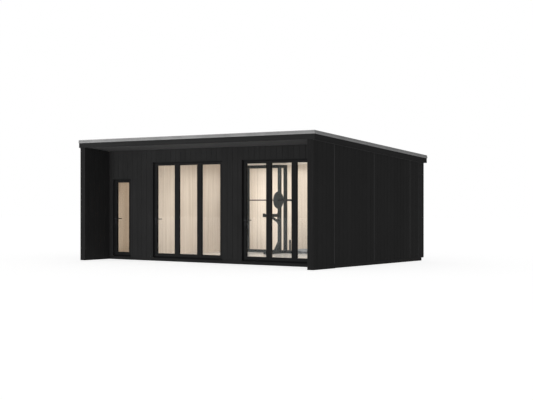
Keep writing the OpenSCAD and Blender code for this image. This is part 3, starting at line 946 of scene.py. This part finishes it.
def weight_plates():
    """Rubber plates with a raised rim, a dished web, a raised hub ring and a steel bush."""
    rubber, bushes = bmesh.new(), bmesh.new()
    for low, high in solids("weight_plates"):
        x, y, z = (low + high) / 2
        half, rim = (high.x - low.x) / 2, (high.y - low.y) / 2
        web, raised = half * 0.45, half * 0.8
        section = [(half, rim - 0.006), (half, rim - 0.028), (web, rim - 0.036), (web, 0.105),
                   (raised, 0.099), (raised, 0.090), (web, 0.084), (web, 0.062), (half, 0.055),
                   (half, HUB_R)]
        back = [(-dx, r) for dx, r in reversed(section)]
        crown = [(-half + 0.004, rim), (half - 0.004, rim)]
        add_ring_lathe(rubber, x, y, z, section + back + crown)
        bush = [(half, HUB_R), (half, BORE_R), (-half, BORE_R), (-half, HUB_R)]
        add_ring_lathe(bushes, x, y, z, bush, 48)
    make_piece("plate_discs", rubber, PLATE_RUBBER, ["weight_plates"], smooth=True)
    make_piece("plate_bushes", bushes, STEEL, smooth=True)


def low_step():
    """A low exercise step: a ribbed deck on a darker moulded base, in two lengths."""
    low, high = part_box("low_step")
    deck, base = bmesh.new(), bmesh.new()
    seam = low.x + 0.2
    for x0, x1 in ((low.x, seam - 0.006), (seam + 0.006, high.x)):
        add_box(deck, (x0, low.y, low.z + 0.055), (x1, high.y, high.z - 0.002))
        add_box(base, (x0 + 0.012, low.y + 0.012, low.z), (x1 - 0.012, high.y - 0.012, low.z + 0.056))
        for y in even_edges(low.y + 0.03, high.y - 0.03, 0.022):
            add_box(deck, (x0 + 0.02, y - 0.004, high.z - 0.003), (x1 - 0.02, y + 0.004, high.z))
    add_box(base, (seam - 0.007, low.y + 0.006, low.z + 0.004),
            (seam + 0.007, high.y - 0.006, high.z - 0.012))
    make_piece("step_deck", deck, STEP_TOP, ["low_step"], bevel=0.002)
    make_piece("step_base", base, STEP_BASE, bevel=0.003)


# ---- CAD nodes that show ----


def finish_nodes():
    """Finishes and rounded edges for the CAD nodes whose own shape shows."""
    table = ((CORE_TIMBER, 0.0, ("roof_deck", "left_wall", "right_wall", "back_wall", "front_piers",
                                 "front_headers")),
             (BASE_TIMBER, 0.002, ("base_frame",)),
             (FRAME_COAT, 0.0012, ("store_door_frame", "store_door_leaf", "middle_set_frame",
                                   "middle_set_leaves", "right_set_frame", "right_set_leaves")),
             (FITTING_COAT, 0.0012, ("store_door_handle", "store_door_hinges", "folding_set_handles")),
             (RACK_COAT, 0.003, ("rack_side_frames", "rack_crossbars", "rack_arms")))
    for material, bevel, names in table:
        for name in names:
            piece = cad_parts[name]
            piece.data.materials.clear()
            piece.data.materials.append(material)
            if bevel:
                add_bevel(piece, bevel)


# ---- Stage, camera and light ----


def lay_stage():
    """A plain white studio floor."""
    bm = bmesh.new()
    add_box(bm, (-STAGE_REACH, -STAGE_REACH, -0.02), (STAGE_REACH, STAGE_REACH, 0.0))
    mesh = bpy.data.meshes.new("studio_floor")
    bm.to_mesh(mesh)
    bm.free()
    floor = bpy.data.objects.new("studio_floor", mesh)
    bpy.context.scene.collection.objects.link(floor)
    n = Nodes("studio_floor")
    n.fixed(Base_Color=(0.60, 0.60, 0.60, 1.0), Roughness=0.9, Specular_IOR_Level=0.0,
            Emission_Color=(1.0, 1.0, 1.0, 1.0), Emission_Strength=FLOOR_GLOW)
    mesh.materials.append(n.material)
    return floor


def soft_light(name, place, aim, size, power, colour=(1.0, 1.0, 1.0)):
    """A soft rectangular light that itself isn't seen."""
    data = bpy.data.lights.new(name, "AREA")
    data.shape = "RECTANGLE"
    data.size, data.size_y = size
    data.energy = power
    data.color = colour
    lamp = bpy.data.objects.new(name, data)
    bpy.context.scene.collection.objects.link(lamp)
    lamp.location = place
    lamp.rotation_euler = (Vector(aim) - Vector(place)).to_track_quat("-Z", "Y").to_euler()
    lamp.visible_camera = False
    lamp.visible_glossy = False
    lamp.visible_transmission = False
    return lamp


def keep_off_floor(lamp, floor):
    """Keeps a light off the floor, which stays evenly white."""
    lit = bpy.data.collections.new("lit_by_" + lamp.name)
    lit.objects.link(floor)
    lamp.light_linking.receiver_collection = lit
    lit.collection_objects[0].light_linking.link_state = "EXCLUDE"


def white_world():
    """Even white surroundings, seen as plain white by the camera."""
    world = bpy.data.worlds.new("studio")
    world.use_nodes = True
    tree = world.node_tree
    light = tree.nodes["Background"]
    light.inputs["Color"].default_value = (1.0, 1.0, 1.0, 1.0)
    light.inputs["Strength"].default_value = AMBIENT
    seen = tree.nodes.new("ShaderNodeBackground")
    seen.inputs["Color"].default_value = (1.0, 1.0, 1.0, 1.0)
    path = tree.nodes.new("ShaderNodeLightPath")
    mix = tree.nodes.new("ShaderNodeMixShader")
    tree.links.new(path.outputs["Is Camera Ray"], mix.inputs["Fac"])
    tree.links.new(light.outputs[0], mix.inputs[1])
    tree.links.new(seen.outputs[0], mix.inputs[2])
    tree.links.new(mix.outputs[0], tree.nodes["World Output"].inputs["Surface"])
    bpy.context.scene.world = world


def light_rooms():
    """Soft light under each ceiling and in from the front of the rooms."""
    depth = (ROOM_FRONT + ROOM_BACK) / 2
    gym = (PART_HIGH.x + ROOM_HIGH.x) / 2
    store = (PART_LOW.x + ROOM_LOW.x) / 2
    wash = PART_HIGH.x + 1.05
    lamps = (("gym_ceiling", (gym, depth + 0.5, 2.36), (gym, depth + 0.5, 0), (4.6, 2.4)),
             ("gym_up", (gym, depth + 0.5, 0.9), (gym, depth + 0.5, 3.0), (4.6, 2.4)),
             ("gym_front", (gym, ROOM_FRONT + 0.06, 1.3), (gym, ROOM_BACK, 1.3), (4.8, 2.2)),
             ("gym_wash", (wash, ROOM_BACK - 0.7, 1.3), (wash, ROOM_BACK, 1.3), (1.9, 2.0)))
    for lamp, (name, place, aim, size) in zip(GYM_POWERS, lamps):
        soft_light(name, place, aim, size, lamp, GYM_TINT)
    soft_light("store_ceiling", (store, depth, 2.36), (store, depth, 0), (0.7, 3.0),
               STORE_POWERS[0], STORE_TINT)
    soft_light("store_front", (store, ROOM_FRONT + 0.06, 0.9), (store, ROOM_BACK, 0.9), (0.8, 1.5),
               STORE_POWERS[1], STORE_TINT)


def set_camera():
    """Level camera off the front right corner."""
    data = bpy.data.cameras.new("camera")
    data.sensor_width = 36.0
    data.lens = LENS_MM
    data.shift_y = SHIFT_UP
    data.clip_end = 400
    eye = bpy.data.objects.new("camera", data)
    bpy.context.scene.collection.objects.link(eye)
    eye.location = EYE
    eye.rotation_euler = (math.radians(90), 0, math.radians(EYE_TURN))
    bpy.context.scene.camera = eye
    bpy.context.scene.view_settings.view_transform = "Standard"


set_camera()
white_world()
floor = lay_stage()
keep_off_floor(soft_light("front_key", (-3.6, -12.0, 2.3), (0, 0, 1.4), (4, 3), KEY_POWER), floor)
keep_off_floor(soft_light("right_fill", (12.0, -18.0, 3.2), (0, 0, 1.4), (8, 4), FILL_POWER), floor)
light_rooms()

clad_front()
clad_sides()
joint_strips()
eave_strips()
base_vents()
clad_back()
clad_wing(-1)
clad_wing(1)
line_rooms()
line_partition()
line_ceiling()
lay_floor()
roof_trim()
roof_fascias()
canopy_soffit()
roof_membrane()
door_reveals()
glaze("store_door", "store_door_glass", DOOR)
glaze("middle_set", "middle_set_glass", HOUSE)
glaze("right_set", "right_set_glass", HOUSE)
frame_seals()
folding_hinges()
lock_cylinders()
rack_holes_with_painted_shade()
rack_fixings()
load_barbell()
weight_plates()
low_step()
finish_nodes()
